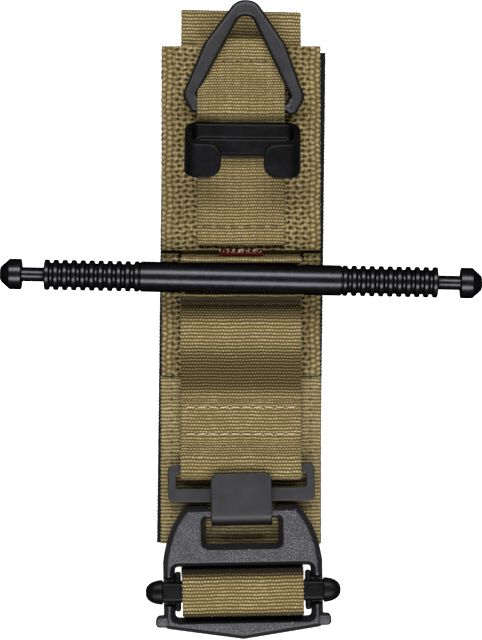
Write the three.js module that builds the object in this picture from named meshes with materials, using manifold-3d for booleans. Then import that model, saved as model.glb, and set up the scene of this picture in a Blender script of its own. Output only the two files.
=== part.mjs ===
// A windlass tourniquet, folded flat as it is issued. It lies on its back, +Z up and +Y towards the
// locking ring. Millimetres. The origin is under the middle of the object, on the surface it lies on.
//
// Layers, from the surface up: the folded free tail, the strap's rear run, a stiffened base of flat
// panels, the locking ring and windlass clip on their strip, and the windlass in the tension strap.
// The strap's lower end loops round a hook plate, whose tongue holds a slide buckle.

import * as THREE from 'three';
import { mergeVertices } from 'three/addons/utils/BufferGeometryUtils.js';
import Module from 'manifold-3d';

const wasm = await Module();
wasm.setup();

// ---------- Driving dimensions ----------

const CLEARANCE = 0.3; // between pieces that lie on each other
const STRAP = { width: 38.1, thick: 1.4 };
const STRIP = { width: 27.5, thick: 1.3, top: 88.2 };
const BASE = {
  width: 50.8, top: 87.2, seam: 21.5, step: -17.75, bottom: -70.5, coarse: 2.0, fine: 1.4,
  foldTop: 98, // where the strap folds over the base's top end
};
const BACKING = { width: 51.8, top: 85, bottom: -70.8, thick: 1.0, turn: -0.7 };
const STIFFENER = { width: 48, length: 150, thick: 0.8 };

const WINDLASS = {
  length: 150, radius: 4.7625, y: 12.9, z: 20.2, turn: -1.15,
  tipRadius: 2.1, cone: 2.9, knob: 3.8, neck: 7.1, neckRadius: 2.25,
  ribs: 11, ribPitch: 2.8, ribWidth: 1.65, ribRadius: 4.8, grooveRadius: 3.8,
  slotWidth: 40, slotHeight: 3,
};
const RING = {
  x: 0.75, y: 66.8, z: 16.0, turn: -1.5, tilt: 2.5, thick: 2.6, barRadius: 1.6,
  apex: 33.3, apexRadius: 4, shoulder: [12.8, 20.4], corner: [19.3, 3.2], skirt: -2.2,
  openingCorner: [15.7, 1.6], openingTop: [1.3, 28.2],
};
const CLIP = {
  x: 0.5, y: 56.9, turn: -0.6, length: 10.6, lean: -0.61,
  width: 36, wall: 2.2, plate: 1.8, channel: 9.6, mouth: 13, mouthRadius: 4.4,
  corner: 4.5, barThick: 1.0, barLength: 6, strapSlot: 1.9, post: 1.7,
};
const HOOK = {
  turn: 1.0, thick: 2, y: -46.6, barHalf: 1.35, loopRadius: 2.1,
  halfWidth: 23, cornerRadius: 1.8, slotHalf: 20.4, slotEnd: -52.7, bottom: -57.0,
  tongueHalf: 9.5, bendRadius: 1.8, bendY: -60.5, tongueEnd: -47.7, tongueCorner: 2.3,
};
const BUCKLE = {
  top: -58.2, topHalf: 17.5, halfWidth: 25, shoulder: -75.6, shoulderPull: [23.5, -64.3],
  barRadius: 1.5, recessHalf: 10.6, slotHalf: 12, slotTop: -62.1, slotEnd: -70.2,
  windowHalf: 22.5, windowTop: -75.9, windowEnd: -94.4, cheekEnd: -96.2, apex: -100.1,
  earHalf: 27.5, earTop: -92.4, back: 11.8,
};
const SLIDER = {
  y: -84.6, z: 17.9, length: 6.4, thick: 4.0, half: 24.7, knobHalf: 30.5, knobLength: 7.8,
  knobThick: 5.6, travel: 1.0,
};
const TAIL = { top: 82, bottom: -85, hemEnd: 92, hemLength: 8 };
const LABEL = { width: 13.8, length: 2.7, thick: 0.6 };
const THREAD = { width: 0.6, thick: 0.3 };

// Levels of the flat stack: each piece's underside.
const layer = STRAP.thick + CLEARANCE;
const REAR_RUN = 3 * layer;
const BACKING_Z = REAR_RUN + layer;
const STIFFENER_Z = BACKING_Z + BACKING.thick + CLEARANCE;
const PANEL_Z = STIFFENER_Z + STIFFENER.thick + CLEARANCE;
const UPPER_Z = PANEL_Z + layer;
const STRIP_Z = UPPER_Z + BASE.coarse + CLEARANCE;
const CLIP_PLATE_Z = STRIP_Z + CLIP.barThick + CLIP.strapSlot;
const HOOK_Z = PANEL_Z + layer + STRAP.thick + HOOK.loopRadius; // middle of the hook plate
const BEND_Z = HOOK_Z + HOOK.thick / 2 + HOOK.bendRadius; // middle of the tongue's bend

const half = STRAP.thick / 2;
const TENSION_END = -25.6; // where the sewn part of the tension strap ends and its slack begins
const PANEL_NOTCH = { width: 40, y: 18.2 }; // in the middle panel, for the strap that comes up there

// ---------- Materials ----------

const paint = (color, roughness, metalness = 0) =>
  new THREE.MeshStandardMaterial({ color, roughness, metalness });
const MATERIALS = {
  webbing: () => paint(0x9b8b62, 0.95),
  knit: () => paint(0x8f8058, 0.95),
  black_webbing: () => paint(0x17171a, 0.95),
  thread: () => paint(0xb9ab80, 0.9),
  black_plastic: () => paint(0x1d1d21, 0.5),
  grey_plastic: () => paint(0x3a3a40, 0.55),
  anodised: () => paint(0x111114, 0.35, 0.8),
  steel: () => paint(0x4c4c52, 0.45, 0.7),
  stiffener: () => paint(0xd8d8d4, 0.6),
  label: () => paint(0x7a2a22, 0.8),
};

// ---------- Solids ----------

function toSolid(geometry) {
  const bare = geometry.clone();
  bare.deleteAttribute('normal');
  bare.deleteAttribute('uv');
  const merged = mergeVertices(bare, 1e-4);
  const corners = merged.index.array;
  const kept = [];
  for (let i = 0; i < corners.length; i += 3) {
    const [a, b, c] = corners.slice(i, i + 3);
    if (a !== b && b !== c && c !== a) kept.push(a, b, c);
  }
  return new wasm.Manifold(new wasm.Mesh({
    numProp: 3,
    vertProperties: new Float32Array(merged.attributes.position.array),
    triVerts: new Uint32Array(kept),
  }));
}

function toGeometry(solid) {
  const mesh = solid.getMesh();
  const geometry = new THREE.BufferGeometry();
  geometry.setAttribute('position', new THREE.BufferAttribute(mesh.vertProperties, 3));
  geometry.setIndex(new THREE.BufferAttribute(mesh.triVerts, 1));
  geometry.computeVertexNormals();
  return geometry;
}

const join = (...geometries) => toGeometry(geometries.map(toSolid).reduce((a, b) => a.add(b)));
const cut = (geometry, ...tools) =>
  toGeometry(tools.map(toSolid).reduce((a, b) => a.subtract(b), toSolid(geometry)));

function box([x0, x1], [y0, y1], [z0, z1]) {
  const geometry = new THREE.BoxGeometry(x1 - x0, y1 - y0, z1 - z0);
  return geometry.translate((x0 + x1) / 2, (y0 + y1) / 2, (z0 + z1) / 2);
}

// An outline in plan, as a plate from z0 to z1.
function plate(outline, z0, z1, curveSegments = 6) {
  const options = { depth: z1 - z0, bevelEnabled: false, curveSegments };
  return new THREE.ExtrudeGeometry(outline, options).translate(0, 0, z0);
}

// Turns a geometry drawn in XY so that it is drawn in the YZ plane and runs along X.
const alongX = (geometry) => geometry.applyMatrix4(new THREE.Matrix4().makeBasis(
  new THREE.Vector3(0, 1, 0), new THREE.Vector3(0, 0, 1), new THREE.Vector3(1, 0, 0)));

function rod(radius, x0, x1, y, z, sides = 16) {
  const cylinder = new THREE.CylinderGeometry(radius, radius, x1 - x0, sides).rotateZ(Math.PI / 2);
  return cylinder.translate((x0 + x1) / 2, y, z);
}

// A closed outline with straight sides and rounded corners. Each corner is [x, y, radius].
function roundedOutline(corners, Curve = THREE.Shape) {
  const outline = new Curve();
  corners.forEach((corner, i) => {
    const before = corners[(i + corners.length - 1) % corners.length];
    fillet(outline, before, corner, corners[(i + 1) % corners.length], i === 0);
  });
  outline.closePath();
  return outline;
}

// Adds a straight run and the arc that rounds off one corner.
function fillet(path, before, corner, after, first = false) {
  const at = new THREE.Vector2(corner[0], corner[1]);
  const back = new THREE.Vector2(before[0], before[1]).sub(at).normalize();
  const on = new THREE.Vector2(after[0], after[1]).sub(at).normalize();
  const radius = corner[2] ?? 0;
  const halfAngle = Math.acos(THREE.MathUtils.clamp(back.dot(on), -1, 1)) / 2;
  const start = at.clone().addScaledVector(back, radius / Math.tan(halfAngle));
  if (first) path.moveTo(start.x, start.y);
  else path.lineTo(start.x, start.y);
  if (!radius) return;
  const middle = at.clone().addScaledVector(back.clone().add(on).normalize(), radius / Math.sin(halfAngle));
  const end = at.clone().addScaledVector(on, radius / Math.tan(halfAngle));
  const angle = (point) => Math.atan2(point.y - middle.y, point.x - middle.x);
  path.absarc(middle.x, middle.y, radius, angle(start), angle(end), back.cross(on) > 0);
}

const rectangle = (x0, x1, y0, y1, radius = 0) => [
  [x0, y0, radius], [x1, y0, radius], [x1, y1, radius], [x0, y1, radius]];
const rectangleShape = (...sides) => roundedOutline(rectangle(...sides));
const rectangleHole = (...sides) => roundedOutline(rectangle(...sides), THREE.Path);

// Webbing or flat bar of one thickness that follows a route in the YZ plane, given as corners
// [y, z, radius] along its middle line.
function band(corners, width, thick, arcSteps = 4) {
  const route = new THREE.Path();
  route.moveTo(corners[0][0], corners[0][1]);
  for (let i = 1; i < corners.length - 1; i++) fillet(route, corners[i - 1], corners[i], corners[i + 1]);
  route.lineTo(...corners.at(-1).slice(0, 2));
  const middle = route.getPoints(arcSteps).filter((p, i, all) => !i || p.distanceTo(all[i - 1]) > 1e-6);
  const side = (sign) => middle.map((point, i) => {
    const ahead = middle[Math.min(i + 1, middle.length - 1)];
    const behind = middle[Math.max(i - 1, 0)];
    const into = (i ? point.clone().sub(behind) : ahead.clone().sub(point)).normalize();
    const out = (i < middle.length - 1 ? ahead.clone().sub(point) : into.clone()).normalize();
    const normal = new THREE.Vector2(-into.y - out.y, into.x + out.x).normalize();
    const reach = thick / 2 / Math.abs(normal.dot(new THREE.Vector2(-into.y, into.x)));
    return point.clone().addScaledVector(normal, sign * reach);
  });
  const outline = new THREE.Shape([...side(1), ...side(-1).reverse()]);
  const options = { depth: width, bevelEnabled: false };
  return alongX(new THREE.ExtrudeGeometry(outline, options)).translate(-width / 2, 0, 0);
}

// ---------- Base ----------

function upperPanel() {
  const side = BASE.width / 2;
  const bottom = BASE.seam + 0.45;
  const outline = [[-side, bottom, 0.5], [side, bottom, 0.5], [side, BASE.top - 1, 2],
    [-side, BASE.top - 1.8, 2]];
  return plate(roundedOutline(outline), UPPER_Z, UPPER_Z + BASE.coarse, 3);
}

function middlePanel() {
  const side = BASE.width / 2;
  const notch = PANEL_NOTCH.width / 2;
  const top = BASE.seam - 0.45;
  const outline = [[-side, BASE.step + 0.15], [side, BASE.step + 0.15], [side, top], [notch, top],
    [notch, PANEL_NOTCH.y], [-notch, PANEL_NOTCH.y], [-notch, top], [-side, top]];
  return plate(roundedOutline(outline), PANEL_Z, PANEL_Z + BASE.coarse);
}

function lowerPanel() {
  const side = BASE.width / 2 + 0.1;
  const outline = [[-side, BASE.bottom, 1.6], [side, BASE.bottom, 1.6], [side, BASE.step - 0.15],
    [-side, BASE.step - 0.15]];
  return plate(roundedOutline(outline), PANEL_Z, PANEL_Z + BASE.fine, 3);
}

function backingPanel() {
  const side = BACKING.width / 2;
  const outline = rectangleShape(-side, side, BACKING.bottom, BACKING.top, 2);
  return plate(outline, BACKING_Z, BACKING_Z + BACKING.thick, 3);
}

function stiffenerPlate() {
  const side = STIFFENER.width / 2;
  const middle = (BACKING.top + BACKING.bottom) / 2;
  const end = STIFFENER.length / 2;
  const outline = rectangleShape(-side, side, middle - end, middle + end, 4);
  return plate(outline, STIFFENER_Z, STIFFENER_Z + STIFFENER.thick, 3);
}

// The strip holds the ring's bar down, passes through the clip and is sewn to the upper panel.
function retainingStrip() {
  const flat = STRIP_Z + STRIP.thick / 2;
  const overBar = RING.z + RING.barRadius + CLEARANCE + STRIP.thick / 2;
  const inClip = STRIP_Z + CLIP.barThick + CLIP.strapSlot / 2;
  const clipTop = CLIP.y + CLIP.length / 2;
  const clipEnd = CLIP.y - CLIP.length / 2;
  return band([
    [STRIP.top, flat],
    [RING.y + 3.5, flat, 1.2],
    [RING.y + 2.3, overBar, 1.5],
    [RING.y - 2.3, overBar, 1.5],
    [clipTop + 0.8, inClip, 0.9],
    [clipEnd - 0.4, inClip, 2],
    [clipEnd - 3.4, flat, 2],
    [BASE.seam + 2.1, flat],
  ], STRIP.width, STRIP.thick, 3);
}

function labelTab() {
  const start = BASE.seam - 0.85;
  return box([-LABEL.width / 2 - 0.3, LABEL.width / 2 - 0.3], [start, start + LABEL.length],
    [STRIP_Z, STRIP_Z + LABEL.thick]);
}

// A row of thread, as one thin line that stands on the webbing.
const stitchRow = (x0, x1, y, z) => box([x0, x1], [y - THREAD.width / 2, y + THREAD.width / 2],
  [z + CLEARANCE, z + CLEARANCE + THREAD.thick]);

// ---------- Strap ----------

// From the seam, up through the base under the upper panel, round the base's top end and down its back.
function rearStrap() {
  const front = PANEL_Z + half;
  const back = REAR_RUN + half;
  const fold = (front - back) / 2;
  const top = BASE.foldTop - half;
  return band([[BASE.seam + 1.5, front], [top, front, fold], [top, back, fold], [-71.2, back]],
    STRAP.width, STRAP.thick);
}

// From the seam up to the windlass.
function leadStrap() {
  const rise = BASE.seam - 2;
  const slot = WINDLASS.z;
  const end = WINDLASS.y + WINDLASS.radius + 0.2;
  return band([[BASE.seam + 1.1, PANEL_Z + half], [rise, PANEL_Z + half, 1.2], [rise, slot, 1], [end, slot]],
    STRAP.width, STRAP.thick, 3);
}

// The stretch inside the windlass's slot, about the windlass's own centre.
function windlassStrap() {
  const reach = WINDLASS.radius - 0.25;
  return box([-STRAP.width / 2, STRAP.width / 2], [-reach, reach], [-half, half]);
}

// The slack between the windlass and the sewn part, which stands up in a hump.
function slackStrap() {
  const flat = PANEL_Z + 2 * layer + half;
  const crest = flat + 5.1;
  const start = WINDLASS.y - WINDLASS.radius - 0.2;
  return band([
    [TENSION_END + CLEARANCE, flat],
    [-19, flat, 12],
    [-5.5, crest, 12],
    [0.5, crest, 3],
    [4.4, flat + 0.3, 1.1],
    [5.9, WINDLASS.z, 1],
    [start, WINDLASS.z],
  ], STRAP.width, STRAP.thick, 3);
}

// The sewn part, which loops round the hook plate's bar and lies double on the lower panel.
function tensionLoop() {
  const under = PANEL_Z + layer + half;
  const over = under + layer;
  const turn = HOOK.loopRadius + half;
  const fold = HOOK.y - turn;
  const crest = under + 2 * turn;
  return band([
    [TENSION_END, under],
    [fold, under, turn - 0.01],
    [fold, crest, turn - 0.01],
    [-43.2, crest, 2],
    [-38.6, over, 2],
    [TENSION_END, over],
  ], STRAP.width, STRAP.thick, 3);
}

// Up behind the buckle, over its slider and back down.
function buckleStrap() {
  const over = SLIDER.z + SLIDER.thick / 2 + 0.6 + half;
  const tail = 2 * layer + half;
  return band([
    [-71.6, REAR_RUN + half],
    [-76.9, REAR_RUN + half, 2.2],
    [-79.5, over, 3.4],
    [-90.3, over, 3.4],
    [-93.0, tail, 2.4],
    [-76.4, tail],
  ], STRAP.width, STRAP.thick, 3);
}

// The free end, folded to and fro behind the base, with its hemmed tip at the top.
function foldedTail() {
  const turn = layer / 2;
  const levels = [2.5, 1.5, 0.5].map((n) => n * layer - CLEARANCE / 2);
  const tip = TAIL.hemEnd;
  return band([
    [-76.0, levels[0]],
    [TAIL.top, levels[0], turn],
    [TAIL.top, levels[1], turn],
    [TAIL.bottom, levels[1], turn],
    [TAIL.bottom, levels[2], turn],
    [tip, levels[2], turn],
    [tip, levels[1], turn],
    [tip - TAIL.hemLength, levels[1]],
  ], STRAP.width, STRAP.thick, 2);
}

// ---------- Windlass ----------

// A turned bar: coned knobs, thin necks and ribbed grips at both ends, and a slot for the strap.
function windlass() {
  const W = WINDLASS;
  const tip = W.length / 2;
  const knobStart = tip - W.cone;
  const neckStart = knobStart - W.knob;
  const gripStart = neckStart - W.neck;
  const halfProfile = [[0, tip], [W.tipRadius, tip], [W.ribRadius, knobStart], [W.ribRadius, neckStart],
    [W.neckRadius, neckStart], [W.neckRadius, gripStart]];
  for (let i = 0; i < W.ribs; i++) {
    const outer = gripStart - i * W.ribPitch;
    halfProfile.push([W.ribRadius, outer], [W.ribRadius, outer - W.ribWidth]);
    if (i < W.ribs - 1) {
      halfProfile.push([W.grooveRadius, outer - W.ribWidth - 0.25]);
      halfProfile.push([W.grooveRadius, outer - W.ribPitch + 0.25]);
    }
  }
  halfProfile.push([W.radius, halfProfile.at(-1)[1]]);
  const otherHalf = halfProfile.map(([r, x]) => [r, -x]).reverse();
  const profile = [...halfProfile, ...otherHalf].reverse().map(([r, x]) => new THREE.Vector2(r, x));
  const bar = new THREE.LatheGeometry(profile, 20).rotateZ(-Math.PI / 2);
  const slot = W.slotWidth / 2;
  return cut(bar, box([-slot, slot], [-W.radius - 1, W.radius + 1], [-W.slotHeight / 2, W.slotHeight / 2]));
}

// ---------- Locking ring and windlass clip ----------

// A flat five-sided ring with a three-sided opening. Its round bar, under the strip, is its hinge.
function lockingRing() {
  const R = RING;
  const mirrored = (corners) => [...corners, ...corners.map(([x, y, r]) => [-x, y, r]).reverse()];
  const right = [[R.corner[0] - 3, R.skirt, 2.5], [R.corner[0], R.corner[1], 2.5], [...R.shoulder, 3],
    [R.apexRadius, R.apex, R.apexRadius * 0.8]];
  const opening = [[...R.openingCorner, 0.4], [...R.openingTop, 0.9]];
  const outline = roundedOutline(mirrored(right));
  outline.holes.push(roundedOutline(mirrored(opening), THREE.Path));
  const flat = plate(outline, -R.thick / 2, R.thick / 2, 3).rotateX(THREE.MathUtils.degToRad(R.tilt));
  const barSide = R.openingCorner[0] - 1;
  const barRoom = box([-barSide, barSide], [R.skirt - 1, R.barRadius + 1.2], [-3, 3]);
  return join(cut(flat, barRoom), rod(R.barRadius, -barSide - 0.5, barSide + 0.5, 0, 0));
}

// A channel open to the front, which holds one end of the windlass. It leans towards -Y, and the strip
// passes between its plate and a thin bar behind it.
function windlassClip() {
  const C = CLIP;
  const side = C.width / 2;
  const height = C.plate + C.channel + C.wall;
  const outline = rectangleShape(-side, side, 0, height, C.corner);
  outline.holes.push(rectangleHole(-side + C.wall, side - C.wall, C.plate, C.plate + C.channel, 2.6));
  // drawn in XZ and extruded along -Y
  const ring = new THREE.ExtrudeGeometry(outline, { depth: C.length, bevelEnabled: false, curveSegments: 4 });
  ring.rotateX(Math.PI / 2).translate(0, C.length / 2, 0);
  const mouth = C.mouth / 2;
  const end = C.length / 2;
  const flare = C.mouthRadius;
  const gap = roundedOutline([[-mouth - flare, -end - 1], [mouth + flare, -end - 1], [mouth + flare, -end],
    [mouth, -end, flare], [mouth, end, flare], [mouth + flare, end], [mouth + flare, end + 1],
    [-mouth - flare, end + 1], [-mouth - flare, end], [-mouth, end, flare], [-mouth, -end, flare],
    [-mouth - flare, -end]]);
  const channel = cut(ring, plate(gap, C.plate + C.channel / 2, height + 1, 4));
  const lean = new THREE.Matrix4().set(1, 0, 0, 0, 0, 1, C.lean, 0, 0, 0, 1, 0, 0, 0, 0, 1);
  channel.applyMatrix4(lean).translate(0, 0, CLIP_PLATE_Z);
  const slotSide = STRIP.width / 2 + 0.6;
  const barY = [-C.barLength / 2, C.barLength / 2];
  const bar = box([-slotSide - C.post, slotSide + C.post], barY, [STRIP_Z, STRIP_Z + C.barThick]);
  const postZ = [STRIP_Z + C.barThick / 2, CLIP_PLATE_Z + C.plate / 2];
  const posts = [-slotSide - C.post, slotSide].map((x) => box([x, x + C.post], barY, postZ));
  return join(channel, bar, ...posts);
}

// ---------- Hook plate and slide buckle ----------

// A flat plate with a bar for the strap and a tongue that bends up and back over its own front.
function hookPlate() {
  const H = HOOK;
  const top = H.y + H.barHalf;
  const outline = rectangleShape(-H.halfWidth, H.halfWidth, H.bottom, top, H.cornerRadius);
  outline.holes.push(rectangleHole(-H.slotHalf, H.slotHalf, H.slotEnd, H.y - H.barHalf, 0.6));
  const frame = plate(outline, HOOK_Z - H.thick / 2, HOOK_Z + H.thick / 2, 3);
  const turn = H.bendRadius + H.thick / 2;
  const bend = H.bendY - turn;
  const front = HOOK_Z + 2 * turn;
  const hook = band([[H.bottom + 1, HOOK_Z], [bend, HOOK_Z, turn - 0.01], [bend, front, turn - 0.01],
    [H.tongueEnd, front]], 2 * H.tongueHalf, H.thick, 5);
  const cornerCuts = [-1, 1].map((sign) => {
    const corner = new THREE.Shape();
    const x = sign * H.tongueHalf;
    const inner = x - sign * H.tongueCorner;
    const inset = H.tongueEnd - H.tongueCorner;
    corner.moveTo(inner, H.tongueEnd);
    corner.absarc(inner, inset, H.tongueCorner, Math.PI / 2, sign > 0 ? 0 : Math.PI, sign > 0);
    corner.lineTo(x + sign, inset);
    corner.lineTo(x + sign, H.tongueEnd + 1);
    corner.lineTo(inner, H.tongueEnd + 1);
    return plate(corner, front - H.thick, front + H.thick, 3);
  });
  return join(frame, cut(hook, ...cornerCuts));
}

function buckleOutline() {
  const B = BUCKLE;
  const outline = new THREE.Shape();
  outline.moveTo(-B.topHalf, B.top);
  outline.quadraticCurveTo(-B.shoulderPull[0], B.shoulderPull[1], -B.halfWidth, B.shoulder);
  outline.lineTo(-B.halfWidth, B.earTop);
  outline.lineTo(-B.earHalf, B.earTop);
  outline.lineTo(-B.earHalf, B.cheekEnd + 0.4);
  outline.lineTo(-B.halfWidth + 1, B.cheekEnd - 0.4);
  outline.lineTo(0, B.apex);
  outline.lineTo(B.halfWidth - 1, B.cheekEnd - 0.4);
  outline.lineTo(B.earHalf, B.cheekEnd + 0.4);
  outline.lineTo(B.earHalf, B.earTop);
  outline.lineTo(B.halfWidth, B.earTop);
  outline.lineTo(B.halfWidth, B.shoulder);
  outline.quadraticCurveTo(B.shoulderPull[0], B.shoulderPull[1], B.topHalf, B.top);
  outline.closePath();
  outline.holes.push(rectangleHole(-B.slotHalf, B.slotHalf, B.slotEnd, B.slotTop, 0.8));
  outline.holes.push(rectangleHole(-B.windowHalf, B.windowHalf, B.windowEnd, B.windowTop, 1));
  return outline;
}

// The frame: a round bar in the hook, a crossbar and a window for the slider and strap.
function buckleFrame() {
  const B = BUCKLE;
  const front = BEND_Z + B.barRadius;
  const body = plate(buckleOutline(), B.back, front, 5);
  const barRoom = box([-B.recessHalf, B.recessHalf], [B.slotTop - 0.4, B.top + 1], [B.back - 1, front + 1]);
  const notch = SLIDER.length / 2 + SLIDER.travel + CLEARANCE;
  const notchY = [SLIDER.y - notch, SLIDER.y + notch];
  const notchBottom = SLIDER.z - SLIDER.thick / 2 - CLEARANCE;
  const notches = box([-B.halfWidth - 1, B.halfWidth + 1], notchY, [notchBottom, front + 1]);
  const frame = cut(body, barRoom, notches);
  return join(frame, rod(B.barRadius, -B.recessHalf - 0.6, B.recessHalf + 0.6, HOOK.bendY, BEND_Z));
}

// A bar across the window, with a round thumb knob outside each cheek.
function sliderBar() {
  const S = SLIDER;
  const [wide, high] = [S.length / 2, S.thick / 2];
  const section = rectangleShape(S.y - wide, S.y + wide, S.z - high, S.z + high, 1.2);
  const bar = alongX(new THREE.ExtrudeGeometry(section, { depth: 2 * S.half + 2, bevelEnabled: false,
    curveSegments: 3 })).translate(-S.half - 1, 0, 0);
  const knob = (sign) => {
    const reach = S.knobHalf - S.half;
    const outline = new THREE.Shape();
    const start = sign > 0 ? -Math.PI / 2 : Math.PI / 2;
    const end = sign > 0 ? Math.PI / 2 : Math.PI * 1.5;
    outline.absellipse(sign * (S.half + 0.4), S.y, reach - 0.4, S.knobLength / 2, start, end, false);
    outline.closePath();
    return plate(outline, S.z - S.knobThick / 2, S.z + S.knobThick / 2, 8);
  };
  return join(bar, knob(-1), knob(1));
}

// ---------- Assembly ----------

function part(name, geometry, material) {
  const mesh = new THREE.Mesh(geometry, MATERIALS[material]());
  mesh.name = name;
  return mesh;
}

// Pieces drawn in the base's own frame, turned together about a vertical line through (x, y).
function turnedAbout(x, y, degrees, ...pieces) {
  const drawn = new THREE.Group();
  drawn.position.set(-x, -y, 0);
  drawn.add(...pieces);
  const turned = new THREE.Group();
  turned.position.set(x, y, 0);
  turned.rotation.z = THREE.MathUtils.degToRad(degrees);
  turned.add(drawn);
  return turned;
}

// Pieces drawn about their own centre.
function placedAt(x, y, z, degrees, ...pieces) {
  const group = new THREE.Group();
  group.position.set(x, y, z);
  group.rotation.z = THREE.MathUtils.degToRad(degrees);
  group.add(...pieces);
  return group;
}

const stripTop = STRIP_Z + STRIP.thick;
const sewnTop = PANEL_Z + 2 * layer + STRAP.thick;

const tourniquet = new THREE.Group();
tourniquet.add(
  part('upper_panel', upperPanel(), 'knit'),
  part('middle_panel', middlePanel(), 'knit'),
  part('lower_panel', lowerPanel(), 'webbing'),
  turnedAbout(0, 0, BACKING.turn, part('backing_panel', backingPanel(), 'black_webbing'),
    part('stiffener_plate', stiffenerPlate(), 'stiffener')),
  part('retaining_strip', retainingStrip(), 'webbing'),
  part('label_tab', labelTab(), 'label'),
  part('strip_top_stitches', stitchRow(-6, 8, 81.2, stripTop), 'thread'),
  part('strip_bottom_stitches', stitchRow(-12.4, 12.4, 29.2, stripTop), 'thread'),
  part('rear_strap', rearStrap(), 'webbing'),
  part('lead_strap', leadStrap(), 'webbing'),
  part('slack_strap', slackStrap(), 'webbing'),
  part('tension_loop', tensionLoop(), 'webbing'),
  part('tension_stitches_upper', stitchRow(-17.5, 17.5, -27.4, sewnTop), 'thread'),
  part('tension_stitches_lower', stitchRow(-17.5, 17.5, -35.8, sewnTop), 'thread'),
  part('folded_tail', foldedTail(), 'webbing'),
  part('tail_hem_stitches', stitchRow(-17.5, 17.5, TAIL.hemEnd - 4, layer + STRAP.thick), 'thread'),
  placedAt(0, WINDLASS.y, WINDLASS.z, WINDLASS.turn, part('windlass', windlass(), 'anodised'),
    part('windlass_strap', windlassStrap(), 'webbing')),
  placedAt(RING.x, RING.y, RING.z, RING.turn, part('locking_ring', lockingRing(), 'black_plastic')),
  placedAt(CLIP.x, CLIP.y, 0, CLIP.turn, part('windlass_clip', windlassClip(), 'black_plastic')),
  turnedAbout(0, HOOK.y, HOOK.turn, part('hook_plate', hookPlate(), 'steel'),
    part('buckle_frame', buckleFrame(), 'grey_plastic'), part('slider_bar', sliderBar(), 'black_plastic'),
    part('buckle_strap', buckleStrap(), 'webbing')),
);

export default tourniquet;
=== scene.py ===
"""A windlass tourniquet, folded flat as it is issued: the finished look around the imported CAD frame.

Lengths are in millimetres until they reach a mesh or an object, +Z is up and +Y points to the locking ring.
Webbing is woven in the mesh itself. Each weave is one formula, which shapes the mesh from arrays and paints
the material from the mesh's UV map, where U runs across the webbing and V along it, both in millimetres.
"""

import math

import bmesh
import bpy
import numpy as np
from mathutils import Matrix, Vector


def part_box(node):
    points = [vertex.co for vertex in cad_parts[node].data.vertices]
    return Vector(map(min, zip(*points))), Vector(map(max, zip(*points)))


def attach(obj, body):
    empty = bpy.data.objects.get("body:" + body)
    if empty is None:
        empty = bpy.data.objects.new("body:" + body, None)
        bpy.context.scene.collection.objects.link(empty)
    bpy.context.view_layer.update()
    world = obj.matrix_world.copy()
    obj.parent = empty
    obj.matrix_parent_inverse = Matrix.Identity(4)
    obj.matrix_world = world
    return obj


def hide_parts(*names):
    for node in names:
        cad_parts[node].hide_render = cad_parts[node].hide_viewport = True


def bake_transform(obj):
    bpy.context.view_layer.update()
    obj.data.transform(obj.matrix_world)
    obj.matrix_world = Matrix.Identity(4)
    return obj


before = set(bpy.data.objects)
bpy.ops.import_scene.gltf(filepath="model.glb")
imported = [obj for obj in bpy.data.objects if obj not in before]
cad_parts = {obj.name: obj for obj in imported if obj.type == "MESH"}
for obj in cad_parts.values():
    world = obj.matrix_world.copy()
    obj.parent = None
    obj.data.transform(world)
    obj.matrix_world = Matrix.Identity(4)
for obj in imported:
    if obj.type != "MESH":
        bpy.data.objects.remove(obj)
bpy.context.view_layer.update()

# ---------- Driving dimensions ----------

MM = 0.001
GAP = 0.3  # between pieces that lie on each other
PI = math.pi


def low(node):
    """A CAD node's lowest corner."""
    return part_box(node)[0] / MM


def high(node):
    """A CAD node's highest corner."""
    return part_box(node)[1] / MM


def span(node):
    """A CAD node's size along x, y and z."""
    return high(node) - low(node)


def midpoint(node):
    """The middle of a CAD node's box."""
    return (low(node) + high(node)) / 2


STRAP = {"width": span("folded_tail").x, "thick": span("windlass_strap").z}
STRIP = {"width": span("retaining_strip").x, "thick": 1.3}
HALF = STRAP["thick"] / 2
LAYER = STRAP["thick"] + GAP

SEAM = low("upper_panel").y - 0.45  # middle of the gap between the upper and the middle panel
REAR_Z = low("rear_strap").z + HALF
PANEL_Z = low("middle_panel").z
STRIP_Z = low("retaining_strip").z
SEWN_Z = PANEL_Z + 2 * LAYER + HALF  # middle of the tension strap's upper layer
TENSION_END = high("tension_loop").y

WINDLASS = {
    "y": 12.9, "z": 20.2, "turn": -1.15, "length": 150, "radius": 4.7625,
    "tip": 2.1, "cone": 2.9, "knob": 3.8, "neck": 7.1, "neck_radius": 2.25,
    "ribs": 11, "pitch": 2.8, "rib": 1.65, "rib_radius": 4.8, "groove": 3.8,
    "slot_width": 40, "slot_height": 3,
}
RING = {"x": 0.75, "y": 66.8, "z": 16.0, "turn": -1.5, "tilt": 2.5, "thick": 2.6, "bar": 1.6}
CLIP = {"x": 0.5, "y": 56.9, "turn": -0.6, "length": 10.6, "bar": 1.0, "strap_slot": 1.9, "plate": 1.8,
        "lip_half": 14}
HOOK = {"turn": 1.0, "y": -46.6, "loop": 2.1, "bend_y": -60.5}
BUCKLE = {
    "top": -58.2, "top_half": 17.5, "half": 25, "shoulder": -75.6, "pull": (23.5, -64.3),
    "bar": 1.5, "recess": 10.6, "slot_half": 11.4, "slot_top": -62.1, "slot_end": -70.2,
    "window_half": 22.5, "window_top": -75.9, "window_end": -94.4, "cheek_end": -96.2, "apex": -100.1,
    "ear_half": 27.5, "ear_top": -92.4, "back": 11.8, "front": 18.7,
}
SLIDER = {"y": -84.6, "z": 17.9, "length": 6.4, "thick": 4.0, "half": 24.7, "knob_half": 30.5,
          "knob_length": 7.8, "knob_thick": 5.6, "cheek": (19.4, 21.3), "cheek_half": 6.2}
TAIL = {"end": -76.0, "top": 82, "bottom": -85, "hem_end": 92, "hem": 8, "shown": (322, 500)}
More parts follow.
